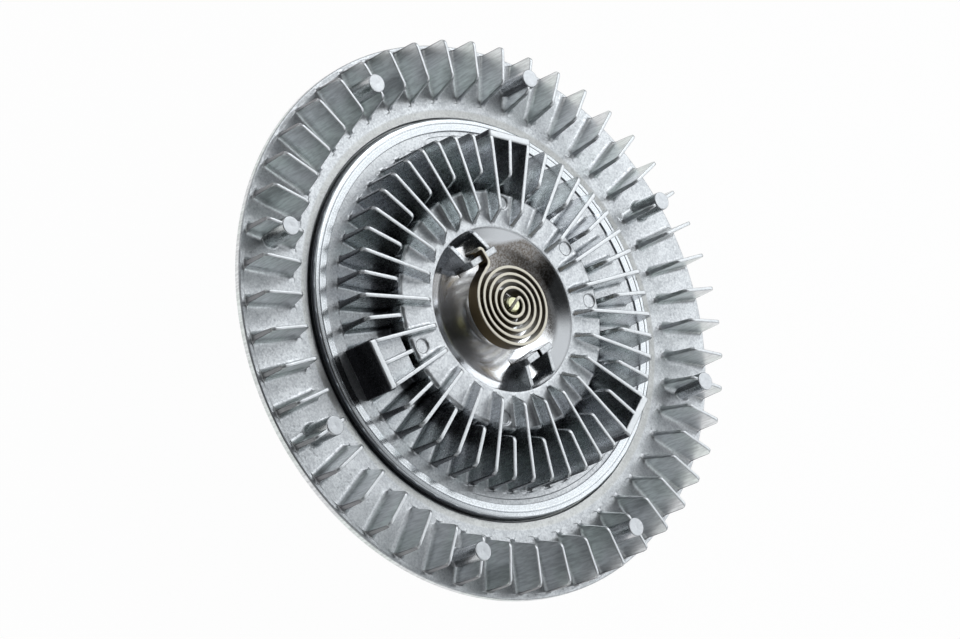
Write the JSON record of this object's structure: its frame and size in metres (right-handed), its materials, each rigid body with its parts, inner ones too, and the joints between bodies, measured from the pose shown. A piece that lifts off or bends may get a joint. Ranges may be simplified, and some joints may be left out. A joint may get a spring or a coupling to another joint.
{
  "type": "viscous fan clutch",
  "caption": "Finned aluminium drum on a steel flanged shaft and ball bearing; a bimetal coil on the front turns the valve that feeds the fluid to its grooved clutch plate.",
  "frame": {"origin": "Centre of the rear face of the pump flange, which is also the centre of the bottom of the bounding box.", "axes": "+Z is the spin axis and points forwards, out of the coil side. +X runs along a rim fin that carries an ejector post. The coil's tail is at -Y."},
  "size_m": [0.216, 0.216, 0.0806],
  "materials": {
    "cast_aluminium": "die-cast, finely speckled, with a machined lip ring",
    "machined_aluminium": "turned",
    "turned_steel": "turned",
    "bearing_steel": "ground",
    "sheet_steel": "pressed sheet",
    "plated_steel": "zinc plated, yellowish",
    "bimetal": "tan and olive-brown strip",
    "seal_rubber": "matt black",
    "wiper_nylon": "moulded"
  },
  "bodies": {
    "shaft": {"drive_shaft": "turned_steel", "clutch_plate": "machined_aluminium", "bearing_inner_ring": "bearing_steel"},
    "ball_cage": {"bearing_balls": "bearing_steel", "bearing_cage": "plated_steel"},
    "drum": {"housing": "cast_aluminium", "front_cover": "cast_aluminium", "cover_seal_ring": "seal_rubber", "pump_plate": "sheet_steel", "wiper": "wiper_nylon", "bimetal_coil": "bimetal", "bearing_outer_ring": "bearing_steel", "bearing_front_shield": "sheet_steel", "bearing_rear_shield": "sheet_steel"},
    "valve": {"valve_spindle": "plated_steel", "valve_arm": "sheet_steel", "spindle_seal_ring": "seal_rubber"}
  },
  "joints": [
    {"name": "drum_spin", "type": "hinge", "parent": "shaft", "child": "drum", "pos_m": [0, 0, 0.031], "axis": [0, 0, 1], "continuous": true},
    {"name": "cage_spin", "type": "hinge", "parent": "shaft", "child": "ball_cage", "pos_m": [0, 0, 0.031], "axis": [0, 0, 1], "continuous": true},
    {"name": "valve_turn", "type": "hinge", "parent": "drum", "child": "valve", "pos_m": [0, 0, 0.0655], "axis": [0, 0, 1], "range_deg": [0, 60], "stiffness_Nm_per_rad": 0.02, "deforming": ["bimetal_coil"]}
  ],
  "couplings": [
    {"joint": "cage_spin", "follows": "drum_spin", "ratio": 0.6185}
  ]
}
